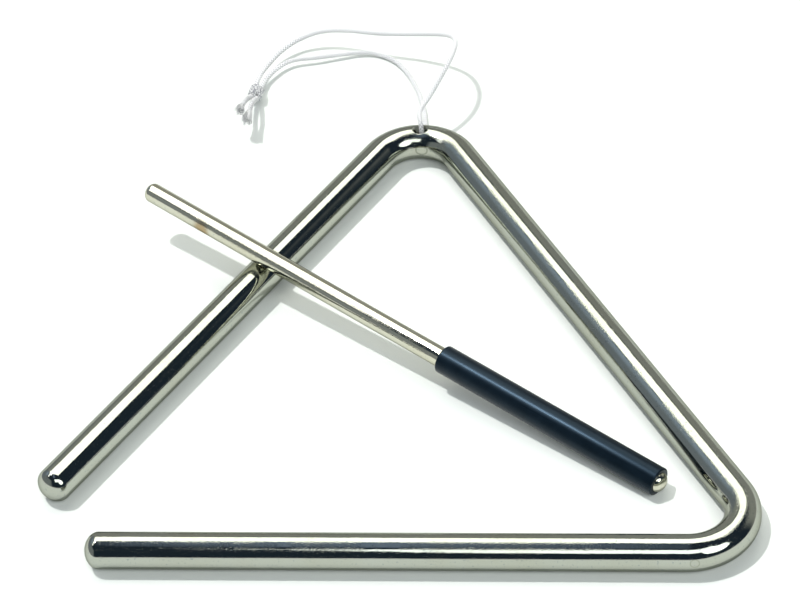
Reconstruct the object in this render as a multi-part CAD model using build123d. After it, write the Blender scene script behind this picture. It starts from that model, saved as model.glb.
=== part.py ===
from build123d import *
import math
import os

# A triangle: a round plated steel bar bent to an equilateral shape that stays open at one corner,
# the loop of braided cord that it hangs by, and its beater laid across one leg.
# The bar lies flat on the ground plane. Sizes are in millimetres and angles in degrees.

# Bar
bar_diameter = 10.5
side_length = 220.0
corner_angle = 60.0
crown_bend_radius = 14.2
corner_bend_radius = 15.2
leg_setback = 25.7
base_setback = 26.7
end_dome_height = 4.0
dome_crown_share = 0.94
hole_diameter = 3.3
countersink_diameter = 5.2
countersink_angle = 90.0

# Beater rod
rod_diameter = 6.0
rod_length = 194.8
rod_dome_height = 2.2

# Beater sleeve
sleeve_diameter = 8.5
sleeve_length = 77.5
sleeve_edge_radius = 0.4
sleeve_reveal = 2.0
sleeve_clearance = 0.03

# Where the beater lies
beater_turn = -35.8
crossing_on_leg = 88.0
tip_gap = 9.7
rest_clearance = 0.15

# Cord
cord_diameter = 1.6
cord_sides = 12
knot_diameter = 5.0
knot_waist_diameter = 4.0
knot_length = 6.0
knot_turns = 3
strand_entry = 0.6
arc_share = 0.45

# One length that every cut runs past the faces it opens
overrun = 2.0

bar_radius = bar_diameter / 2
rod_radius = rod_diameter / 2
sleeve_radius = sleeve_diameter / 2
hole_radius = hole_diameter / 2


def dome_arc(radius, height, outward):
    """Half of a dome's outline: a wide arc over its summit and a tighter one that runs into its rim."""
    wide = dome_crown_share * radius**2 / height
    tight = ((height - wide) ** 2 + radius**2 - wide**2) / (2 * (radius - wide))
    lean = math.atan2(radius - tight, wide - height)
    half_lean, half_rest = lean / 2, lean / 2 + math.pi / 4

    def on_wide(angle):
        return outward * (height - wide + wide * math.cos(angle)), wide * math.sin(angle)

    def on_tight(angle):
        return outward * tight * math.cos(angle), radius - tight + tight * math.sin(angle)

    summit_arc = ThreePointArc((outward * height, 0), on_wide(half_lean), on_wide(lean))
    return summit_arc + ThreePointArc(on_wide(lean), on_tight(half_rest), (0, radius))


def domed_end(radius, height):
    """A dome that stands on the YZ plane and points along +X."""
    outline = dome_arc(radius, height, 1) + Polyline((0, radius), (0, 0), (height, 0))
    return revolve(make_face(outline), Axis.X)


def heading(angle):
    """Unit vector in the ground plane."""
    return Vector(math.cos(math.radians(angle)), math.sin(math.radians(angle)), 0)


# Sharp corners of the bar's axis. The base runs towards -X from the right corner, and both bends
# turn through the same angle, so the leg comes back towards the open corner at the left.
axis_lift = Vector(0, 0, bar_radius)
right_corner = axis_lift
apex = right_corner + heading(180 - corner_angle) * side_length
leg_way = heading(-2 * corner_angle)
base_way = heading(180)
leg_rim = apex + leg_way * (side_length - leg_setback - end_dome_height)
base_rim = right_corner + base_way * (side_length - base_setback - end_dome_height)

# Bar: a round section along two bends, with a dome on each end
bend_radii = [crown_bend_radius, corner_bend_radius]
bar_path = FilletPolyline(leg_rim, apex, right_corner, base_rim, radius=bend_radii)
bar = sweep(Plane(bar_path @ 0, z_dir=bar_path % 0) * Circle(bar_radius), path=bar_path)
dome = domed_end(bar_radius, end_dome_height)
bar += Plane(leg_rim, x_dir=leg_way, z_dir=(0, 0, 1)) * dome
bar += Plane(base_rim, x_dir=base_way, z_dir=(0, 0, 1)) * dome

# Cord hole: drilled square to the triangle's plane at the crown of the upper bend,
# and countersunk on both faces so that its rim does not cut the cord
bend_rise = crown_bend_radius / math.sin(math.radians(corner_angle / 2)) - crown_bend_radius
crown_way = heading(-1.5 * corner_angle)
crown = apex + crown_way * bend_rise
hole_axis = Vector(crown.X, crown.Y, 0)
flare = math.tan(math.radians(countersink_angle / 2))
sink_depth = (countersink_diameter / 2 - hole_radius) / flare
sink = Cone(hole_radius, countersink_diameter / 2 + overrun * flare, sink_depth + overrun,
            align=(Align.CENTER, Align.CENTER, Align.MIN))
bar -= Pos(hole_axis + axis_lift) * Cylinder(hole_radius, bar_diameter + 2 * overrun)
bar -= Pos(hole_axis + Vector(0, 0, bar_diameter - sink_depth)) * sink
bar -= Pos(hole_axis + Vector(0, 0, sink_depth)) * Rot(180, 0, 0) * sink

# Beater, along +X from its bare tip: a straight rod with domed ends
rod_outline = Pos(rod_dome_height, 0) * dome_arc(rod_radius, rod_dome_height, -1)
rod_outline += Polyline((rod_dome_height, rod_radius), (rod_length - rod_dome_height, rod_radius))
rod_outline += Pos(rod_length - rod_dome_height, 0) * dome_arc(rod_radius, rod_dome_height, 1)
rod_outline += Polyline((0, 0), (rod_length, 0))
rod = revolve(make_face(rod_outline), Axis.X)

# Sleeve: a length of soft tube pushed on from the other end, which just shows past it
sleeve_back = rod_length - sleeve_reveal
sleeve_front = sleeve_back - sleeve_length
bore_radius = rod_radius + sleeve_clearance
sleeve_wall = sleeve_radius - bore_radius
wall_place = Pos((sleeve_front + sleeve_back) / 2, bore_radius + sleeve_wall / 2)
wall = wall_place * Rectangle(sleeve_length, sleeve_wall)
wall = fillet(wall.vertices().group_by(Axis.Y)[-1], min(sleeve_edge_radius, arc_share * sleeve_wall))
sleeve = revolve(wall, Axis.X)

# The beater crosses the leg and runs on inside the triangle, until its sleeved tip is a set gap
# from the right side or the base, whichever it comes to first
crossing = apex + leg_way * crossing_on_leg
beater_way = heading(beater_turn)
right_inward = heading(270 - corner_angle)
tip_inset = bar_radius + tip_gap
run_to_right = (tip_inset - (crossing - right_corner).dot(right_inward)) / beater_way.dot(right_inward)
run_to_base = (tip_inset - crossing.Y + right_corner.Y) / beater_way.Y
reach = min(run_to_right, run_to_base)

# The rod rests on the leg and the sleeve's back end on the ground, which sets the beater's slope
slope = 0.0
for _ in range(12):
    crossing_height = bar_radius + (bar_radius + rod_radius + rest_clearance) / math.cos(slope)
    drop = crossing_height - rest_clearance - sleeve_radius * math.cos(slope)
    slope = math.asin(drop / (reach / math.cos(slope) - sleeve_reveal))
crossing_on_rod = rod_length - reach / math.cos(slope)
beater_place = Pos(crossing.X, crossing.Y, crossing_height) * Rot(0, 0, beater_turn)
beater_place *= Rot(0, math.degrees(slope), 0) * Pos(-crossing_on_rod, 0, 0)
rod = beater_place * rod
sleeve = beater_place * sleeve

# Cord routes, from the hole's axis at ground level. The upper strand leaves the hole's top, arches
# back and lies over to the knot. The lower one leaves the underside and runs along the ground.
upper_route = [
    (0.3, 0.5, 4.8), (0.4, 0.5, 8.0), (0.3, 0.8, 11.3), (-0.4, 3.8, 11.9), (-0.4, 7.2, 12.2),
    (2.2, 11.6, 13.1), (6.0, 18.1, 16.7), (9.3, 27.0, 18.4), (9.9, 36.1, 16.8), (6.5, 43.7, 13.3),
    (-5.2, 48.5, 9.6), (-16.4, 50.4, 8.3), (-25.9, 53.9, 7.1), (-35.3, 55.3, 6.1), (-42.8, 53.2, 4.3),
    (-48.3, 48.3, 3.3), (-52.2, 41.4, 2.7), (-54.3, 35.4, 3.1), (-54.9, 29.5, 3.5),
]
lower_route = [
    (0.3, 0.5, 4.8), (0.24, 0.5, 2.9), (0.3, 0.8, 0.95), (0.45, 3.4, 0.84), (0.6, 7.8, 0.85),
    (0.35, 13.6, 0.84), (-0.2, 19.0, 0.85), (-1.5, 25.4, 0.84), (-4.2, 34.3, 0.85), (-8.9, 43.5, 0.9),
    (-14.9, 48.6, 1.0), (-21.6, 50.2, 1.15), (-29.0, 48.4, 1.6), (-37.5, 46.0, 2.1), (-45.4, 44.9, 2.3),
    (-50.6, 38.4, 2.2), (-52.6, 33.9, 2.2), (-53.3, 29.5, 2.5),
]
upper_tail_route = [(-55.6, 24.4, 4.0), (-56.5, 20.5, 6.1), (-57.0, 15.5, 8.3), (-57.3, 10.2, 10.2)]
lower_tail_route = [(-53.9, 24.4, 3.2), (-54.2, 20.0, 6.0), (-54.6, 14.2, 8.3), (-55.2, 8.6, 7.5)]


def cord(name, route):
    """A cord of many sides along straight runs, with as large an arc at each point as its runs allow."""
    points = [hole_axis + Vector(*place) for place in route]
    runs = [after - before for before, after in zip(points, points[1:])]
    radii = []
    for before, after in zip(runs, runs[1:]):
        half_turn = math.radians(before.get_angle(after)) / 2
        radii.append(arc_share * min(before.length, after.length) / math.tan(half_turn))
    path = FilletPolyline(*points, radius=radii)
    section = RegularPolygon(cord_diameter / 2, cord_sides)
    tube = sweep(Plane(path @ 0, z_dir=path % 0) * section, path=path)
    print(name, "length", round(path.length, 1), "radii", [round(r, 1) for r in radii])
    print(name, "volume over section times length", round(tube.volume / (section.area * path.length), 4))
    return tube


upper_cord = cord("cord_loop_upper", upper_route)
lower_cord = cord("cord_loop_lower", lower_route)
upper_tail = cord("cord_tail_upper", upper_tail_route)
lower_tail = cord("cord_tail_lower", lower_tail_route)

# Knot: both ends of the cord tied together, a lump of close turns between strands and tails
strand_end = hole_axis + (Vector(*upper_route[-1]) + Vector(*lower_route[-1])) / 2
tail_start = hole_axis + (Vector(*upper_tail_route[0]) + Vector(*lower_tail_route[0])) / 2
knot_way = (tail_start - strand_end).normalized()
turn_length = knot_length / knot_turns
waist_radius = knot_waist_diameter / 2
knot_outline = Polyline((knot_length, waist_radius), (knot_length, 0), (0, 0), (0, waist_radius))
for turn in range(knot_turns):
    knot_outline += ThreePointArc(
        (turn * turn_length, waist_radius),
        ((turn + 0.5) * turn_length, knot_diameter / 2),
        ((turn + 1) * turn_length, waist_radius),
    )
knot_place = Plane(strand_end - knot_way * strand_entry, x_dir=knot_way, z_dir=(0, 0, 1))
knot = knot_place * revolve(make_face(knot_outline), Axis.X)

# The cord is pressed flat where the bar lies on it, and its strands and tails end in the knot's faces
lower_cord -= bar
upper_cord -= knot
lower_cord -= knot
upper_tail -= knot
lower_tail -= knot

# The origin lies on the ground, under the middle of the bar and the beater
extent = Compound(children=[bar.solid(), rod.solid(), sleeve.solid()]).bounding_box()
to_origin = Pos(-extent.center().X, -extent.center().Y, 0)
print("hole axis", round(hole_axis.X - extent.center().X, 3), round(hole_axis.Y - extent.center().Y, 3))

pieces = {
    "triangle_bar": bar,
    "beater_rod": rod,
    "beater_sleeve": sleeve,
    "cord_loop_upper": upper_cord,
    "cord_loop_lower": lower_cord,
    "cord_knot": knot,
    "cord_tail_upper": upper_tail,
    "cord_tail_lower": lower_tail,
}
os.makedirs("parts", exist_ok=True)
for name, piece in pieces.items():
    export_step(to_origin * piece, f"parts/{name}.step")
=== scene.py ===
import math

import bpy
import numpy as np
from mathutils import Matrix, Vector


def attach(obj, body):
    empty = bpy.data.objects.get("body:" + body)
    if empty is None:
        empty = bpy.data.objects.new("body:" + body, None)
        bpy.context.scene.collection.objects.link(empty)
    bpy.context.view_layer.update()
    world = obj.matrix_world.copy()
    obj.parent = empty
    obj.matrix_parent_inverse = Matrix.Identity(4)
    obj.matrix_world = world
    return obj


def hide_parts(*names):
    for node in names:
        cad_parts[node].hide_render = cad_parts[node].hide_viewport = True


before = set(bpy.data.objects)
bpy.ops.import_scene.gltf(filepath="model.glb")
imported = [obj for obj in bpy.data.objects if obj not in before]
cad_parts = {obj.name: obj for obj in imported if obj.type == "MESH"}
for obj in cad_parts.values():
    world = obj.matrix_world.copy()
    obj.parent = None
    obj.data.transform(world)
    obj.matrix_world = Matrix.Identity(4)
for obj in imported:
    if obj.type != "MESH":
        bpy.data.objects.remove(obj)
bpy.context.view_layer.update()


# Triangle bar
# One round steel bar, bent twice to an equilateral triangle that stays open at its left corner, with
# both ends turned to a shallow dome. It is polished, bright plated and drilled at the crown.
bar_radius = 0.00525
bar_sides = 96
side_length = 0.220
crown_bend = 0.0142
corner_bend = 0.0152
bend_steps = 56
leg_setback = 0.0257
base_setback = 0.0267
bar_dome = 0.004
dome_rings = 16
bend_turn = math.radians(120)
sharp_from = 35
hole_sides = 64
right_corner = Vector((0.108012, -0.088163, bar_radius))


def heading(degrees):
    return Vector((math.cos(math.radians(degrees)), math.sin(math.radians(degrees)), 0))


def start_ring(name, sides, radius, centre, way):
    """A bare ring of points, square to way and ready to be drawn out."""
    bpy.ops.object.select_all(action="DESELECT")
    turn = Vector(way).to_track_quat("Z", "Y").to_euler()
    bpy.ops.mesh.primitive_circle_add(vertices=sides, radius=radius, location=centre, rotation=turn)
    piece = bpy.context.object
    piece.name = name
    bpy.ops.object.transform_apply(location=True, rotation=True, scale=True)
    bpy.ops.object.mode_set(mode="EDIT")
    bpy.ops.mesh.select_all(action="SELECT")
    return piece


def draw_out(way, size=1.0, centre=(0, 0, 0)):
    """Extrudes the selected ring along way, and then scales it about centre."""
    bpy.ops.mesh.extrude_region_move(TRANSFORM_OT_translate={"value": tuple(way)})
    if size != 1.0:
        bpy.ops.transform.resize(value=(size, size, size), center_override=tuple(centre))


def turn_dome(rim, way, radius, height):
    """Closes the selected ring with a turned dome of that height."""
    before = (radius, 0.0)
    for ring in range(1, dome_rings):
        lean = math.pi / 2 * ring / dome_rings
        after = (radius * math.cos(lean), height * math.sin(lean))
        draw_out(way * (after[1] - before[1]), after[0] / before[0], rim + way * after[1])
        before = after
    draw_out(way * (height - before[1]))
    bpy.ops.mesh.merge(type="CENTER")


def close_mesh(piece, smooth_angle):
    """Merges doubles, turns the faces outwards and smooths all but the sharp edges."""
    bpy.ops.mesh.select_all(action="SELECT")
    bpy.ops.mesh.remove_doubles(threshold=0.000001)
    bpy.ops.mesh.normals_make_consistent(inside=False)
    bpy.ops.object.mode_set(mode="OBJECT")
    bpy.ops.object.select_all(action="DESELECT")
    piece.select_set(True)
    bpy.context.view_layer.objects.active = piece
    bpy.ops.object.shade_smooth_by_angle(angle=math.radians(smooth_angle))


def unroll(piece, girth, place):
    """UV map in metres: along the piece, and round it from its top."""
    while piece.data.uv_layers:
        piece.data.uv_layers.remove(piece.data.uv_layers[0])
    layer = piece.data.uv_layers.new(name="unrolled")
    for face in piece.data.polygons:
        spots = [place(piece.data.vertices[v].co) for v in face.vertices]
        high = max(spot[1] for spot in spots)
        for loop, (run, turn) in zip(face.loop_indices, spots):
            layer.data[loop].uv = (run, turn + girth if high - turn > girth / 2 else turn)


apex = right_corner + heading(120) * side_length
crown_tangent = crown_bend * math.tan(math.radians(60))
corner_tangent = corner_bend * math.tan(math.radians(60))
crown_centre = apex + heading(-90) * 2 * crown_bend
corner_centre = right_corner + heading(150) * 2 * corner_bend
straight_leg = side_length - leg_setback - bar_dome - crown_tangent
straight_side = side_length - crown_tangent - corner_tangent
straight_base = side_length - base_setback - bar_dome - corner_tangent
leg_rim = apex + heading(-120) * (crown_tangent + straight_leg)
base_rim = right_corner + heading(180) * (corner_tangent + straight_base)

bar = start_ring("bent_bar", bar_sides, bar_radius, leg_rim, heading(60))
draw_out(heading(60) * straight_leg)
bpy.ops.mesh.spin(steps=bend_steps, angle=bend_turn, center=crown_centre, axis=(0, 0, 1))
draw_out(heading(-60) * straight_side)
bpy.ops.mesh.spin(steps=bend_steps, angle=bend_turn, center=corner_centre, axis=(0, 0, 1))
draw_out(heading(180) * straight_base)
turn_dome(base_rim, heading(180), bar_radius, bar_dome)
bpy.ops.mesh.select_all(action="DESELECT")
bpy.ops.mesh.select_non_manifold()
turn_dome(leg_rim, heading(-120), bar_radius, bar_dome)
close_mesh(bar, sharp_from)


def along_bar(point):
    """Distance along the bent bar from the leg's rim, and round it from its top."""
    side_start = straight_leg + crown_bend * bend_turn
    corner_start = side_start + straight_side
    base_start = corner_start + corner_bend * bend_turn
    from_crown = point - crown_centre
    from_corner = point - corner_centre
    crown_turn = math.degrees(math.atan2(from_crown.y, from_crown.x))
    corner_turn = math.degrees(math.atan2(from_corner.y, from_corner.x))
    if 30 < crown_turn < 150:
        run = straight_leg + crown_bend * math.radians(150 - crown_turn)
        out = math.hypot(from_crown.x, from_crown.y) - crown_bend
    elif -90 < corner_turn < 30:
        run = corner_start + corner_bend * math.radians(30 - corner_turn)
        out = math.hypot(from_corner.x, from_corner.y) - corner_bend
    else:
        starts = (
            (leg_rim, 60, 0.0),
            (apex + heading(-60) * crown_tangent, -60, side_start),
            (right_corner + heading(180) * corner_tangent, 180, base_start),
        )
        near = []
        for start, way, before in starts:
            out = (point - start).dot(heading(way + 90))
            near.append((abs(out), out, before + (point - start).dot(heading(way))))
        out, run = min(near)[1:]
    return run, bar_radius * math.atan2(out, point.z - bar_radius)


unroll(bar, 2 * math.pi * bar_radius, along_bar)

# Cord hole: drilled down through the crown, with a trumpet mouth on both faces.
# The mouth is given as (depth under the face, radius), from the bore outwards.
mouth = [
    (0.0012, 0.00165), (0.0009, 0.00174), (0.0006, 0.00193),
    (0.0003, 0.00222), (0.0, 0.0026), (-0.002, 0.005),
]
hole_axis = Vector((crown_centre.x, crown_centre.y + crown_bend, 0))
down_rings = [(2 * bar_radius - depth, radius) for depth, radius in reversed(mouth)] + mouth
top_height, top_radius = down_rings[0]
drill = start_ring("drill", hole_sides, top_radius, hole_axis + Vector((0, 0, top_height)), (0, 0, 1))
bpy.ops.mesh.edge_face_add()
for (high, wide), (low, narrow) in zip(down_rings, down_rings[1:]):
    draw_out((0, 0, low - high), narrow / wide, hole_axis + Vector((0, 0, low)))
close_mesh(drill, sharp_from)
drill.data.uv_layers.new(name="unrolled")
bpy.context.view_layer.objects.active = bar
cut = bar.modifiers.new("cord_hole", "BOOLEAN")
cut.operation = "DIFFERENCE"
cut.solver = "EXACT"
cut.object = drill
bpy.ops.object.modifier_apply(modifier=cut.name)
bpy.data.objects.remove(drill)
bpy.ops.object.shade_smooth_by_angle(angle=math.radians(sharp_from))


def add_node(tree, kind, links=(), **settings):
    """A shader node with its settings, and links given as (its input, another node's output)."""
    node = tree.nodes.new(kind)
    for name, value in settings.items():
        setattr(node, name, value)
    for socket, source in links:
        if hasattr(source, "is_output"):
            tree.links.new(source, node.inputs[socket])
        else:
            node.inputs[socket].default_value = source
    return node


def fresh_material(name):
    """A node material with nothing but its surface and output."""
    material = bpy.data.materials.new(name)
    material.use_nodes = True
    tree = material.node_tree
    surface = next(node for node in tree.nodes if node.type == "BSDF_PRINCIPLED")
    return material, tree, surface


def plated_steel(name, tone, polish, stains, rubbed):
    """Bright nickel plate: polishing lines along the bar, fine specks and a few duller patches.
    stains are (centre, inner radius, outer radius, tint), and rubbed gives where the plate is
    scuffed: a run along the bar and a strip round it, each as its begin and end."""
    material, tree, surface = fresh_material(name)
    where = add_node(tree, "ShaderNodeTexCoord")

    def noise(scale, detail, stretch=None):
        source = where.outputs["Object"]
        if stretch:
            source = add_node(tree, "ShaderNodeMapping", [
                ("Vector", where.outputs["UV"]), ("Scale", stretch)]).outputs["Vector"]
        return add_node(tree, "ShaderNodeTexNoise", [
            ("Vector", source), ("Scale", scale), ("Detail", detail), ("Roughness", 0.6)]).outputs["Fac"]

    def ranged(value, begin, end, low=0.0, high=1.0):
        return add_node(tree, "ShaderNodeMapRange", [
            ("Value", value), ("From Min", begin), ("From Max", end), ("To Min", low), ("To Max", high)],
            interpolation_type="SMOOTHSTEP").outputs["Result"]

    def sums(kind, first, second, third=0.0):
        node = add_node(tree, "ShaderNodeMath", [(0, first), (1, second), (2, third)], operation=kind)
        return node.outputs[0]

    def tinted(colour, tint, share):
        mix = add_node(tree, "ShaderNodeMix", [("Factor", share)], data_type="RGBA", blend_type="MULTIPLY")
        sockets = [socket for socket in mix.inputs if socket.type == "RGBA"]
        tree.links.new(colour, sockets[0])
        sockets[1].default_value = (*tint, 1)
        return next(socket for socket in mix.outputs if socket.type == "RGBA")

    line_stretch, scuff_stretch = (90, 3200, 1), (900, 2600, 1)
    grit_stretch, haze_stretch = (1500, 2800, 1), (420, 1900, 1)
    speck_scale, wear_scale, wave_scale = 1500.0, 60.0, 130.0
    line_depth, wave_depth, grit_depth = 0.0000035, 0.00004, 0.00005
    speck_tint, flank_tint = (0.72, 0.76, 0.84), (0.45, 0.45, 0.43, 1)
    lines = noise(1.0, 3.0, line_stretch)
    scuffs = noise(1.0, 2.0, scuff_stretch)
    grit = noise(1.0, 2.0, grit_stretch)
    specks = ranged(noise(speck_scale, 2.0), 0.62, 0.70)
    worn = noise(wear_scale, 4.0)
    waves = noise(wave_scale, 1.0)
    on_bar = add_node(tree, "ShaderNodeSeparateXYZ", [("Vector", where.outputs["UV"])])
    run, turn = on_bar.outputs["X"], sums("ABSOLUTE", on_bar.outputs["Y"], 0.0)
    along = sums("MULTIPLY", ranged(run, *rubbed[0]), ranged(run, *rubbed[1]))
    strip = sums("MULTIPLY", ranged(turn, *rubbed[2]), ranged(turn, *rubbed[3]))
    rubbed_share = sums("MULTIPLY", sums("MULTIPLY", along, strip), ranged(worn, 0.38, 0.55))

    ramp = add_node(tree, "ShaderNodeValToRGB", [("Fac", worn)])
    ramp.color_ramp.elements[0].position = 0.3
    ramp.color_ramp.elements[0].color = (*tone, 1)
    ramp.color_ramp.elements[1].position = 0.75
    ramp.color_ramp.elements[1].color = (tone[0] * 0.95, tone[1] * 0.93, tone[2] * 0.87, 1)
    colour = tinted(ramp.outputs["Color"], speck_tint, specks)
    for centre, inner, outer, tint in stains:
        reach = add_node(tree, "ShaderNodeVectorMath", [
            (0, where.outputs["Object"]), (1, centre)], operation="DISTANCE").outputs["Value"]
        edge = (outer - inner) / 2
        ring = sums("ABSOLUTE", sums("SUBTRACT", reach, (inner + outer) / 2), 0.0)
        colour = tinted(colour, tint, ranged(ring, edge, edge / 3))

    gloss = ranged(scuffs, 0.45, 0.75, polish, polish + 0.10)
    gloss = sums("MULTIPLY_ADD", ranged(worn, 0.5, 0.72), 0.05, gloss)
    gloss = sums("MULTIPLY_ADD", specks, 0.12, gloss)
    haze = ranged(noise(1.0, 4.0, haze_stretch), 0.56, 0.68)
    gloss = sums("MULTIPLY_ADD", haze, 0.11, gloss)
    fine = add_node(tree, "ShaderNodeBump", [
        ("Height", sums("MULTIPLY_ADD", scuffs, 0.5, lines)), ("Strength", 1.0), ("Distance", line_depth)])
    wavy = add_node(tree, "ShaderNodeBump", [
        ("Height", waves), ("Strength", 1.0), ("Distance", wave_depth),
        ("Normal", fine.outputs["Normal"])])
    rough = add_node(tree, "ShaderNodeBump", [
        ("Height", grit), ("Strength", rubbed_share), ("Distance", grit_depth),
        ("Normal", wavy.outputs["Normal"])])
    tree.links.new(colour, surface.inputs["Base Color"])
    tree.links.new(gloss, surface.inputs["Roughness"])
    tree.links.new(rough.outputs["Normal"], surface.inputs["Normal"])
    surface.inputs["Metallic"].default_value = 1.0
    surface.inputs["Specular Tint"].default_value = flank_tint
    return material


crown_ring = ((-0.001457, 0.082977, 0.006163), 0.0014, 0.0021, (0.62, 0.62, 0.60))
base_ring = ((0.0837, -0.0931, 0.0062), 0.0010, 0.0015, (0.80, 0.80, 0.76))
scuffed = ((0.150, 0.175), (0.56, 0.54), (0.0008, 0.0013), (0.0042, 0.0030))
bar_tone = (0.415, 0.435, 0.39)
plate_polish = 0.05
bar.data.materials.append(plated_steel(
    "bright_plate", bar_tone, plate_polish, (crown_ring, base_ring), scuffed))
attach(bar, "triangle")
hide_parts("triangle_bar")


# Beater rod
# A straight length of the same plated steel with both ends domed. It lies across the left leg, bare end
# up, and its other end just shows past the sleeve.
rod_radius = 0.003
rod_length = 0.1948
rod_sides = 80
rod_dome = 0.0022
rod_way = Vector((0.8094639, -0.5838038, -0.0627797))
rod_crossing = Vector((-0.045988, 0.0261524, 0.0136666))
crossing_on_rod = 0.0450614
rod_tip = rod_crossing - rod_way * crossing_on_rod
rod_rims = (rod_tip + rod_way * rod_dome, rod_tip + rod_way * (rod_length - rod_dome))

rod = start_ring("beater_bar", rod_sides, rod_radius, rod_rims[0], rod_way)
draw_out(rod_rims[1] - rod_rims[0])
turn_dome(rod_rims[1], rod_way, rod_radius, rod_dome)
bpy.ops.mesh.select_all(action="DESELECT")
bpy.ops.mesh.select_non_manifold()
turn_dome(rod_rims[0], -rod_way, rod_radius, rod_dome)
close_mesh(rod, sharp_from)

rod_across = Vector((-rod_way.y, rod_way.x, 0)).normalized()
rod_up = rod_way.cross(rod_across)


def along_rod(point, radius=rod_radius):
    """Distance along the beater from its bare tip, and round it from its top."""
    off = point - rod_tip
    return off.dot(rod_way), radius * math.atan2(off.dot(rod_across), off.dot(rod_up))


unroll(rod, 2 * math.pi * rod_radius, along_rod)
rod_stain = ((-0.0648, 0.0358, 0.0146), -0.004, 0.004, (0.66, 0.52, 0.38))
rod_scuffs = ((0.0, 0.01), (0.12, 0.10), (0.0016, 0.0022), (0.0042, 0.0034))
rod_tone = (0.60, 0.595, 0.50)
rod.data.materials.append(plated_steel("beater_plate", rod_tone, plate_polish, (rod_stain,), rod_scuffs))
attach(rod, "beater")
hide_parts("beater_rod")


# Beater sleeve
# A length of soft dark tube pushed on over the rod's lower half as a handle. It is extruded, cut square,
# and its cut edges are a little rounded. It rests on the ground at its end.
sleeve_radius = 0.00425
sleeve_bore = 0.00303
sleeve_edge = 0.0004
sleeve_length = 0.0775
sleeve_reveal = 0.002
edge_steps = 6
sleeve_sides = 80
sleeve_sharp_from = 50
tube_dark = (0.0015, 0.004, 0.007, 1)
tube_bloom = (0.004, 0.009, 0.015, 1)
tube_sheen = (0.45, 0.72, 1.0, 1)
drawn_stretch = (25, 1500, 1)
drawn_depth = 0.00001
sleeve_front = rod_length - sleeve_reveal - sleeve_length
sleeve_rings = [(0.0, sleeve_bore)]
for step in range(edge_steps + 1):
    lean = math.pi / 2 * step / edge_steps
    sleeve_rings.append((
        sleeve_edge * (1 - math.cos(lean)), sleeve_radius - sleeve_edge * (1 - math.sin(lean))))
sleeve_rings += [(sleeve_length - run, radius) for run, radius in reversed(sleeve_rings)]

sleeve_start = rod_tip + rod_way * sleeve_front
sleeve = start_ring("beater_grip", sleeve_sides, sleeve_bore, sleeve_start, rod_way)
for (run, radius), (next_run, next_radius) in zip(sleeve_rings, sleeve_rings[1:]):
    draw_out(rod_way * (next_run - run), next_radius / radius, sleeve_start + rod_way * next_run)
draw_out(rod_way * -sleeve_length)
close_mesh(sleeve, sleeve_sharp_from)
unroll(sleeve, 2 * math.pi * sleeve_radius, lambda point: along_rod(point, sleeve_radius))

rubber, tree, surface = fresh_material("dark_tube")
where = add_node(tree, "ShaderNodeTexCoord")
drawn_place = add_node(tree, "ShaderNodeMapping", [
    ("Vector", where.outputs["UV"]), ("Scale", drawn_stretch)])
drawn = add_node(tree, "ShaderNodeTexNoise", [
    ("Vector", drawn_place.outputs["Vector"]), ("Scale", 1.0), ("Detail", 4.0), ("Roughness", 0.6)])
bloom = add_node(tree, "ShaderNodeTexNoise", [
    ("Vector", where.outputs["Object"]), ("Scale", 220.0), ("Detail", 5.0), ("Roughness", 0.65)])
tube_colour = add_node(tree, "ShaderNodeValToRGB", [("Fac", bloom.outputs["Fac"])])
tube_colour.color_ramp.elements[0].position = 0.3
tube_colour.color_ramp.elements[0].color = tube_dark
tube_colour.color_ramp.elements[1].position = 0.75
tube_colour.color_ramp.elements[1].color = tube_bloom
tube_gloss = add_node(tree, "ShaderNodeMapRange", [
    ("Value", drawn.outputs["Fac"]), ("From Min", 0.3), ("From Max", 0.7),
    ("To Min", 0.26), ("To Max", 0.4)])
tube_bump = add_node(tree, "ShaderNodeBump", [
    ("Height", drawn.outputs["Fac"]), ("Strength", 1.0), ("Distance", drawn_depth)])
tree.links.new(tube_colour.outputs["Color"], surface.inputs["Base Color"])
tree.links.new(tube_gloss.outputs["Result"], surface.inputs["Roughness"])
tree.links.new(tube_bump.outputs["Normal"], surface.inputs["Normal"])
surface.inputs["Specular IOR Level"].default_value = 0.24
surface.inputs["Specular Tint"].default_value = tube_sheen
sleeve.data.materials.append(rubber)
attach(sleeve, "beater")
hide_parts("beater_sleeve")


# Cord strands
# One thin braided nylon cord, 1.6 mm across and eight yarns round, goes through the hole. Its upper
# strand arches up off the bar and its lower one runs along the ground, and both go back to the knot.
cord_diameter = 0.0016
yarns_each_way = 4
braid_pitch = 0.0042
braid_step = 0.00013
yarn_half_width = 0.0004
yarn_half_height = 0.00019
yarn_weave = 0.00018
yarn_sides = 8
core_radius = 0.00038
core_sides = 10
pressed_thickness = 0.0001
ground_gap = 0.00002
mm = 0.001

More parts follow.
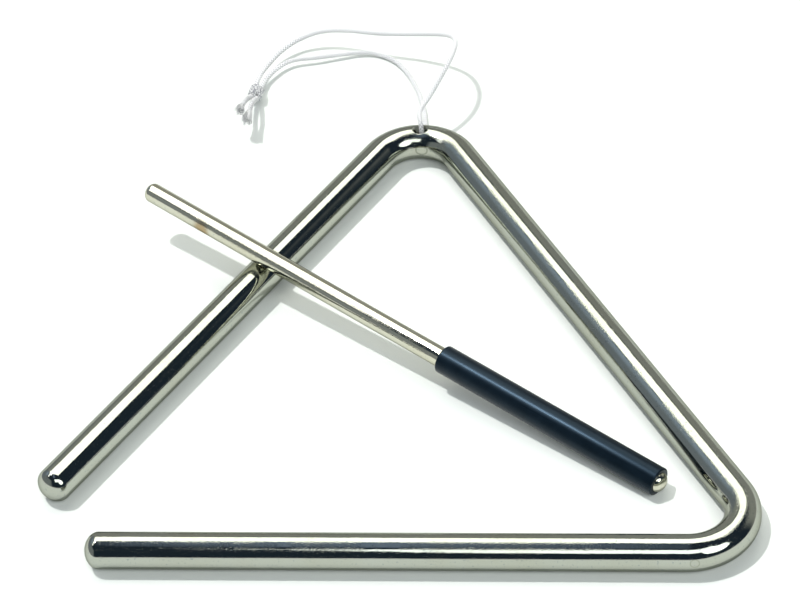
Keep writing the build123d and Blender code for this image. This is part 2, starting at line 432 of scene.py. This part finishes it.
upper_route = [
    (0.3, 0.5, 4.8), (0.4, 0.5, 8.0), (0.3, 0.8, 11.3), (-0.4, 3.8, 11.9), (-0.4, 7.2, 12.2),
    (2.2, 11.6, 13.1), (6.0, 18.1, 16.7), (9.3, 27.0, 18.4), (9.9, 36.1, 16.8), (6.5, 43.7, 13.3),
    (-5.2, 48.5, 9.6), (-16.4, 50.4, 8.3), (-25.9, 53.9, 7.1), (-35.3, 55.3, 6.1), (-42.8, 53.2, 4.3),
    (-48.3, 48.3, 3.3), (-52.2, 41.4, 2.7), (-54.3, 35.4, 3.1), (-54.9, 29.5, 3.5),
]
lower_route = [
    (0.3, 0.5, 4.8), (0.24, 0.5, 2.9), (0.3, 0.8, 0.95), (0.45, 3.4, 0.84), (0.6, 7.8, 0.85),
    (0.35, 13.6, 0.84), (-0.2, 19.0, 0.85), (-1.5, 25.4, 0.84), (-4.2, 34.3, 0.85), (-8.9, 43.5, 0.9),
    (-14.9, 48.6, 1.0), (-21.6, 50.2, 1.15), (-29.0, 48.4, 1.6), (-37.5, 46.0, 2.1), (-45.4, 44.9, 2.3),
    (-50.6, 38.4, 2.2), (-52.6, 33.9, 2.2), (-53.3, 29.5, 2.5),
]


def from_hole(route):
    """A route's points, given from the hole's axis at ground level, in the row frame."""
    return [hole_axis + Vector(place) * mm for place in route]


def smooth_line(points):
    """Points along one smooth spline that has these as its control points."""
    curve = bpy.data.curves.new("line", "CURVE")
    curve.dimensions = "3D"
    spline = curve.splines.new("NURBS")
    spline.points.add(len(points) - 1)
    for spot, point in zip(spline.points, points):
        spot.co = (*point, 1)
    spline.order_u = 3
    spline.use_endpoint_u = True
    spline.resolution_u = 24
    holder = bpy.data.objects.new("line", curve)
    mesh = bpy.data.meshes.new_from_object(holder)
    line = np.array([vertex.co for vertex in mesh.vertices])
    bpy.data.objects.remove(holder)
    bpy.data.curves.remove(curve)
    bpy.data.meshes.remove(mesh)
    return line


def even_line(line, step):
    """The same line at even steps, with its length at each."""
    runs = np.concatenate([[0], np.cumsum(np.linalg.norm(np.diff(line, axis=0), axis=1))])
    places = np.linspace(0, runs[-1], max(2, int(runs[-1] / step)))
    return np.stack([np.interp(places, runs, line[:, axis]) for axis in range(3)], 1), places


def frames_along(line):
    """Unit vectors along the line and two across it that don't twist."""
    along = np.gradient(line, axis=0)
    along /= np.linalg.norm(along, axis=1)[:, None]
    side = np.cross(along[0], (0.31, 0.17, 0.93))
    sides = []
    for way in along:
        side = side - way * (side @ way)
        side = side / np.linalg.norm(side)
        sides.append(side)
    sides = np.array(sides)
    return along, sides, np.cross(along, sides)


class Thread:
    """Gathers the tubes of one cord in a single mesh."""

    def __init__(self):
        self.points, self.faces, self.lift = [], [], []

    def tube(self, centres, wide, high, half_width, half_height, sides, lift):
        """A tube round centres, an oval in the directions wide and high, closed at both ends.
        lift says how far up in the braid it lies at each centre, from 0 to 1; where it is low the yarn is
        painted in shade. Higher values keep a loose end clear of that painted shade, and it is less on the
        tube's flanks."""
        first = sum(len(block) for block in self.points)
        turn = np.linspace(0, 2 * math.pi, sides, endpoint=False)
        oval = (wide[:, None] * np.cos(turn)[None, :, None] * np.reshape(half_width, (-1, 1, 1))
                + high[:, None] * np.sin(turn)[None, :, None] * np.reshape(half_height, (-1, 1, 1)))
        self.points.append((centres[:, None] + oval).reshape(-1, 3))
        count = len(centres)
        ring = np.arange(sides)
        for row in range(count - 1):
            low = first + row * sides
            near, far = low + ring, low + (ring + 1) % sides
            self.faces += np.stack([near, far, far + sides, near + sides], 1).tolist()
        self.faces.append((first + ring[::-1]).tolist())
        self.faces.append((first + (count - 1) * sides + ring).tolist())
        # Stored lift is the mask for the painted shade in the yarn material.
        self.lift.append((0.6 * lift[:, None] + 0.2 * (1 + np.sin(turn))[None, :]).ravel())

    def mesh(self, name):
        points = np.concatenate(self.points)
        data = bpy.data.meshes.new(name)
        data.from_pydata(points.tolist(), [], self.faces)
        data.polygons.foreach_set("use_smooth", [True] * len(data.polygons))
        lift = data.attributes.new("lift", "FLOAT", "POINT")
        lift.data.foreach_set("value", np.concatenate(self.lift))
        data.update()
        piece = bpy.data.objects.new(name, data)
        bpy.context.collection.objects.link(piece)
        return piece


def braid(thread, line, spread=None):
    """Yarns over and under each other round line, and the core that they cover.
    spread gives the cord's width at each share of its length."""
    centres, runs = even_line(line, braid_step)
    along, side, over = frames_along(centres)
    share = runs / runs[-1]
    width = np.ones_like(share) if spread is None else spread(share)
    turn_rate = 2 * math.pi / braid_pitch
    middle = cord_diameter / 2 - yarn_half_height - yarn_weave
    # opened also lifts a loosened end clear of the painted shade.
    opened = np.clip((width - 1.1) * 6, 0, 2)
    thread.tube(centres, side, over, core_radius * width, core_radius * width, core_sides, opened)
    for way in (1, -1):
        lift = way * np.cos(yarns_each_way * turn_rate * runs)
        weave = middle + yarn_weave * lift
        for yarn in range(yarns_each_way):
            turn = 2 * math.pi * yarn / yarns_each_way + way * turn_rate * runs
            out = side * np.cos(turn)[:, None] + over * np.sin(turn)[:, None]
            path = centres + out * (weave * width)[:, None]
            lead = np.gradient(path, axis=0)
            lead /= np.linalg.norm(lead, axis=1)[:, None]
            wide = np.cross(out, lead)
            wide /= np.linalg.norm(wide, axis=1)[:, None]
            high = np.cross(lead, wide)
            # An opened end keeps enough lift to stay clear of the painted shade.
            thread.tube(path, wide, high, yarn_half_width * width, yarn_half_height, yarn_sides,
                        np.maximum((lift + 1) / 2, opened))


def white_braid(name, dull, bright):
    """White nylon yarn: slightly silky, with its filaments and a little soil in its tone, and painted
    shade between the yarns and on their inner sides, where lift is low.
    """
    crevice_shade_grey = (0.22, 0.22, 0.25, 1)
    soil_scale, filament_scale, filament_depth = 380.0, 9000.0, 0.00003
    material, tree, surface = fresh_material(name)
    where = add_node(tree, "ShaderNodeTexCoord")
    soil = add_node(tree, "ShaderNodeTexNoise", [
        ("Vector", where.outputs["Object"]), ("Scale", soil_scale), ("Detail", 4.0), ("Roughness", 0.6)])
    colour = add_node(tree, "ShaderNodeValToRGB", [("Fac", soil.outputs["Fac"])])
    colour.color_ramp.elements[0].position = 0.25
    colour.color_ramp.elements[0].color = (dull, dull, dull, 1)
    colour.color_ramp.elements[1].position = 0.6
    colour.color_ramp.elements[1].color = (bright, bright, bright, 1)
    # Painted shade: where lift is low, under other yarns and on a yarn's inner side, the colour is mixed
    # towards a shade grey.
    lift = add_node(tree, "ShaderNodeAttribute", attribute_name="lift")
    shade_share = add_node(tree, "ShaderNodeMapRange", [
        ("Value", lift.outputs["Fac"]), ("From Min", 0.97), ("From Max", 0.68)],
        interpolation_type="SMOOTHSTEP")
    shade_mix = add_node(tree, "ShaderNodeMix", [("Factor", shade_share.outputs["Result"])], data_type="RGBA")
    yarn_in, grey = [socket for socket in shade_mix.inputs if socket.type == "RGBA"]
    tree.links.new(colour.outputs["Color"], yarn_in)
    grey.default_value = crevice_shade_grey
    yarn_colour = next(socket for socket in shade_mix.outputs if socket.type == "RGBA")
    filament = add_node(tree, "ShaderNodeTexNoise", [
        ("Vector", where.outputs["Object"]), ("Scale", filament_scale), ("Detail", 2.0)])
    bump = add_node(tree, "ShaderNodeBump", [
        ("Height", filament.outputs["Fac"]), ("Strength", 0.5), ("Distance", filament_depth)])
    gloss = add_node(tree, "ShaderNodeMapRange", [
        ("Value", filament.outputs["Fac"]), ("To Min", 0.5), ("To Max", 0.75)])
    tree.links.new(yarn_colour, surface.inputs["Base Color"])
    tree.links.new(gloss.outputs["Result"], surface.inputs["Roughness"])
    tree.links.new(bump.outputs["Normal"], surface.inputs["Normal"])
    surface.inputs["Sheen Weight"].default_value = 0.15
    return material


cord_white = white_braid("white_yarn", 0.84, 0.94)


def press_under_bar(piece):
    """The bar lies on the strand, which is squeezed flat between its round and the ground."""
    points = np.array([vertex.co for vertex in piece.data.vertices])
    from_crown = np.hypot(points[:, 0] - crown_centre.x, points[:, 1] - crown_centre.y)
    off = np.clip(np.abs(from_crown - crown_bend), 0, bar_radius)
    lowest = bar_radius - np.sqrt(bar_radius**2 - off**2)
    in_hole = np.hypot(points[:, 0] - hole_axis.x, points[:, 1] - hole_axis.y) < mouth[-2][1]
    squeezed = (off < bar_radius) & ~in_hole & (points[:, 2] < bar_radius)
    points[squeezed, 2] = np.minimum(points[squeezed, 2], np.maximum(lowest[squeezed], pressed_thickness))
    points[:, 2] = np.maximum(points[:, 2], ground_gap)
    piece.data.vertices.foreach_set("co", points.ravel())
    piece.data.update()


strand_lines = [smooth_line(from_hole(route)) for route in (upper_route, lower_route)]
strands = []
for name, line in zip(("upper_strand", "lower_strand"), strand_lines):
    thread = Thread()
    braid(thread, line)
    strand = thread.mesh(name)
    strand.data.materials.append(cord_white)
    strands.append(strand)
press_under_bar(strands[1])


# Knot
# Both ends of the cord are laid together and tied. Two wraps of the same braid, nearly two turns
# each, go round the pair, and the ends come out side by side. Its yarn, like the tails', is a greyer
# white.
knot_length = 0.006
knot_entry = 0.0006
wrap_radius = 0.0016
wrap_turns = 1.75
points_a_turn = 12
wrap_unevenness = 0.06
waves_a_turn = 5
tail_routes = (
    [(-55.6, 24.4, 4.0), (-56.5, 20.5, 6.1), (-57.0, 15.5, 8.3), (-57.3, 10.2, 10.2)],
    [(-53.9, 24.4, 3.2), (-54.2, 20.0, 6.0), (-54.6, 14.2, 8.3), (-55.2, 8.6, 7.5)],
)
strand_end = (from_hole(upper_route)[-1] + from_hole(lower_route)[-1]) / 2
tail_start = sum((from_hole(route)[0] for route in tail_routes), Vector()) / 2
knot_way = (tail_start - strand_end).normalized()
knot_side = knot_way.cross(Vector((0, 0, 1))).normalized()
knot_up = knot_side.cross(knot_way)
knot_foot = strand_end - knot_way * knot_entry

thread = Thread()
for wrap in range(2):
    route = []
    steps = int(wrap_turns * points_a_turn)
    for step in range(steps + 1):
        share = step / steps
        turn = 2 * math.pi * (wrap_turns * share + wrap / 2)
        reach = wrap_radius * (1 + wrap_unevenness * math.sin(waves_a_turn * turn + wrap))
        run = cord_diameter / 2 + (knot_length - cord_diameter) * share
        out = (knot_side * math.cos(turn) + knot_up * math.sin(turn)) * reach
        route.append(knot_foot + knot_way * run + out)
    route.insert(0, knot_foot + knot_way * cord_diameter / 3)
    route.append(knot_foot + knot_way * (knot_length - cord_diameter / 3))
    braid(thread, smooth_line(route))
knot = thread.mesh("tied_knot")
# The knot and tails get a greyer white than the strands.
greyer_white = white_braid("greyer_yarn", 0.52, 0.80)
knot.data.materials.append(greyer_white)


# Tails
# The two cut ends of the cord past the knot. Nothing holds their yarns, so they open towards the cut
# and end in loose filaments.
loose_filaments = 90
filament_radius = 0.00007
filament_points = 8
fray_from = 0.40
fray_past_cut = 0.0017
fray_spread = 0.0019
fray_until = 0.92
fray_curl = 1.2
filament_sides = 5
clear_of_shade = 2.0
tail_width = 1.04
tail_flare = 0.75
flare_from = 0.72
flare_run = 0.28


def opening(share):
    """How much wider than the cord a tail is."""
    return tail_width + tail_flare * np.clip((share - flare_from) / flare_run, 0, 1) ** 1.5


def fray(thread, line, chance):
    """Single filaments that come out of the cut end and stand apart."""
    centres, runs = even_line(line, braid_step)
    along, side, over = frames_along(centres)
    for _ in range(loose_filaments):
        begin = chance.uniform(fray_from, fray_until)
        past = chance.uniform(0.1, 1.0) * fray_past_cut
        turn = chance.uniform(0, 2 * math.pi)
        reach = chance.uniform(0.15, 1.0) ** 0.5 * fray_spread
        curl = chance.uniform(-fray_curl, fray_curl)
        path = []
        for step in range(filament_points):
            share = step / (filament_points - 1)
            spot = np.interp(begin + (1 - begin) * share, runs / runs[-1], np.arange(len(runs)))
            row = int(spot)
            out = core_radius + (reach - core_radius) * share**1.6
            bent = turn + curl * share
            path.append(centres[row] + along[row] * past * share**2
                        + (side[row] * math.cos(bent) + over[row] * math.sin(bent)) * out)
        path = np.array(path)
        _, across, up = frames_along(path)
        # Loose filaments are given lift enough that no painted shade falls on them.
        thread.tube(path, across, up, filament_radius, filament_radius, filament_sides,
                    np.full(len(path), clear_of_shade))


tails = []
chance = np.random.default_rng(7)
for name, route in zip(("upper_tail", "lower_tail"), tail_routes):
    thread = Thread()
    line = smooth_line(from_hole(route))
    braid(thread, line, opening)
    fray(thread, line, chance)
    tail = thread.mesh(name)
    tail.data.materials.append(greyer_white)
    tails.append(tail)

cord_nodes = ("cord_loop_upper", "cord_loop_lower", "cord_knot", "cord_tail_upper", "cord_tail_lower")
for piece, node in zip([*strands, knot, *tails], cord_nodes):
    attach(piece, "triangle")
    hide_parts(node)


# Floor
# A plain white table top, which shows white where the lamps reach it and keeps the shadows. It glows
# a little, but only to the camera and in reflections, so it lights nothing.
floor_size = 24
floor_drop = 0.00003
floor_colour = (0.77, 0.79, 0.76, 1)
glow_colour = (0.92, 1, 0.97, 1)
glow_strength = 0.05
bpy.ops.object.select_all(action="DESELECT")
bpy.ops.mesh.primitive_plane_add(size=floor_size, location=(0, 0, -floor_drop))
floor = bpy.context.object
floor.name = "table_top"
table, tree, surface = fresh_material("table_white")
tree.nodes.remove(surface)
out = next(node for node in tree.nodes if node.type == "OUTPUT_MATERIAL")
matte = add_node(tree, "ShaderNodeBsdfDiffuse", [("Color", floor_colour)])
rays = add_node(tree, "ShaderNodeLightPath")
seen = add_node(tree, "ShaderNodeMath", [
    (0, rays.outputs["Is Camera Ray"]), (1, rays.outputs["Is Glossy Ray"])], operation="MAXIMUM")
shown = add_node(tree, "ShaderNodeMath", [
    (0, seen.outputs["Value"]), (1, rays.outputs["Is Transmission Ray"])], operation="MAXIMUM")
level = add_node(tree, "ShaderNodeMath", [
    (0, shown.outputs["Value"]), (1, glow_strength)], operation="MULTIPLY")
white = add_node(tree, "ShaderNodeEmission", [
    ("Color", glow_colour), ("Strength", level.outputs["Value"])])
both = add_node(tree, "ShaderNodeAddShader", [(0, matte.outputs["BSDF"]), (1, white.outputs["Emission"])])
tree.links.new(both.outputs["Shader"], out.inputs["Surface"])
floor.data.materials.append(table)


# Lamps and room
# A hard lamp high at the back left throws the shadows. A wide soft box behind and above gives the long
# white lights on the plate, a narrow one hangs at the left, and two more stand in front, by the camera
# and to its right. The room is dim, with a paler back and left wall.
def towards(azimuth, elevation):
    level = math.radians(elevation)
    return heading(azimuth) * math.cos(level) + Vector((0, 0, math.sin(level)))


def hang_lamp(name, kind, azimuth, elevation, distance, energy, **settings):
    data = bpy.data.lights.new(name, kind)
    data.energy = energy
    for setting, value in settings.items():
        setattr(data, setting, value)
    lamp = bpy.data.objects.new(name, data)
    bpy.context.collection.objects.link(lamp)
    way = towards(azimuth, elevation)
    lamp.location = way * distance
    lamp.rotation_euler = way.to_track_quat("Z", "Y").to_euler()
    lamp.visible_camera = False
    return lamp


def soft_box(name, azimuth, elevation, distance, wide, high, brightness):
    return hang_lamp(name, "AREA", azimuth, elevation, distance, brightness * math.pi * wide * high,
                     shape="RECTANGLE", size=wide, size_y=high)


hang_lamp("hard_lamp", "SUN", azimuth=155.6, elevation=66.2, distance=3.0, energy=2.05,
          angle=math.radians(2.6))
wide_box = soft_box("wide_box", azimuth=97.7, elevation=56.1, distance=3.613,
                    wide=3.12, high=2.49, brightness=3.0)
wide_box.rotation_euler = (0, 0, 0)
wide_box.data.color = (1.0, 1.0, 0.91)
side_box = soft_box("side_box", azimuth=174.5, elevation=55.2, distance=3.095,
                    wide=2.0, high=0.63, brightness=2.2)
side_box.rotation_euler = (0, 0, math.radians(37))
front_box = soft_box("front_box", azimuth=-70, elevation=51, distance=3.0,
                     wide=2.2, high=1.05, brightness=2.8)
right_box = soft_box("right_box", azimuth=-44, elevation=37, distance=3.0,
                     wide=1.9, high=1.6, brightness=3.0)
right_box.data.shape = "ELLIPSE"
for box in (front_box, right_box):
    box.data.color = (0.96, 1.0, 1.0)

room = bpy.data.worlds.new("dim_room")
room.use_nodes = True
tree = room.node_tree
backdrop = next(node for node in tree.nodes if node.type == "BACKGROUND")
where = add_node(tree, "ShaderNodeTexCoord")
ways = add_node(tree, "ShaderNodeSeparateXYZ", [("Vector", where.outputs["Generated"])])


def fade(axis, begin, end):
    return add_node(tree, "ShaderNodeMapRange", [
        ("Value", ways.outputs[axis]), ("From Min", begin), ("From Max", end)],
        interpolation_type="SMOOTHSTEP").outputs["Result"]


def both_of(first, second):
    node = add_node(tree, "ShaderNodeMath", [(0, first), (1, second)], operation="MULTIPLY")
    return node.outputs["Value"]


def laid_over(under, over, share):
    mix = add_node(tree, "ShaderNodeMix", [("Factor", share)], data_type="RGBA")
    for socket, colour in (("A", under), ("B", over)):
        target = next(s for s in mix.inputs if s.name == socket and s.type == "RGBA")
        if hasattr(colour, "is_output"):
            tree.links.new(colour, target)
        else:
            target.default_value = (*colour, 1)
    return next(s for s in mix.outputs if s.type == "RGBA")


dark_room, back_grey = (0.022, 0.036, 0.055), (0.42, 0.43, 0.41)
left_grey, left_back_grey = (0.28, 0.31, 0.33), (0.26, 0.30, 0.35)
window_blue, ceiling_blue, floor_white = (0.43, 0.53, 0.68), (0.24, 0.31, 0.44), (1, 1, 1)
behind = both_of(fade("Y", 0.1, 0.5), fade("Z", 0.72, 0.55))
left_wall = both_of(fade("X", -0.40, -0.62), fade("Z", 0.70, 0.58))
left_back = both_of(both_of(fade("X", -0.40, -0.62), fade("Z", 0.80, 0.70)), fade("Y", 0.0, 0.25))
ceiling = both_of(fade("Z", 0.90, 0.97), both_of(fade("X", -0.25, -0.16), fade("X", 0.06, -0.12)))
shade = laid_over(dark_room, back_grey, behind)
shade = laid_over(shade, left_grey, left_wall)
shade = laid_over(shade, left_back_grey, left_back)
shade = laid_over(shade, window_blue, both_of(left_back, fade("Z", 0.46, 0.70)))
shade = laid_over(shade, ceiling_blue, ceiling)
shade = laid_over(shade, floor_white, fade("Z", 0.075, 0.05))
tree.links.new(shade, backdrop.inputs["Color"])
bpy.context.scene.world = room


# Camera
# It looks down on the triangle from the front, a little from the right, and is slightly tilted.
view_centre = Vector((-0.003715, 0.012261, 0.00525))
camera_back = Vector((0.087022, -0.735721, 0.67166)).normalized()
camera_right = Vector((0.996205, 0.063219, -0.059821)).normalized()
camera_up = camera_back.cross(camera_right)
camera_distance = 1.08215
camera_data = bpy.data.cameras.new("camera")
camera_data.sensor_fit = "HORIZONTAL"
camera_data.sensor_width = 36
camera_data.lens = 164.512
camera_data.clip_end = 100
camera = bpy.data.objects.new("camera", camera_data)
bpy.context.collection.objects.link(camera)
camera.matrix_world = Matrix.Translation(view_centre + camera_back * camera_distance) @ Matrix(
    (camera_right, camera_up, camera_back)).transposed().to_4x4()
bpy.context.scene.camera = camera
bpy.context.scene.view_settings.view_transform = "Standard"
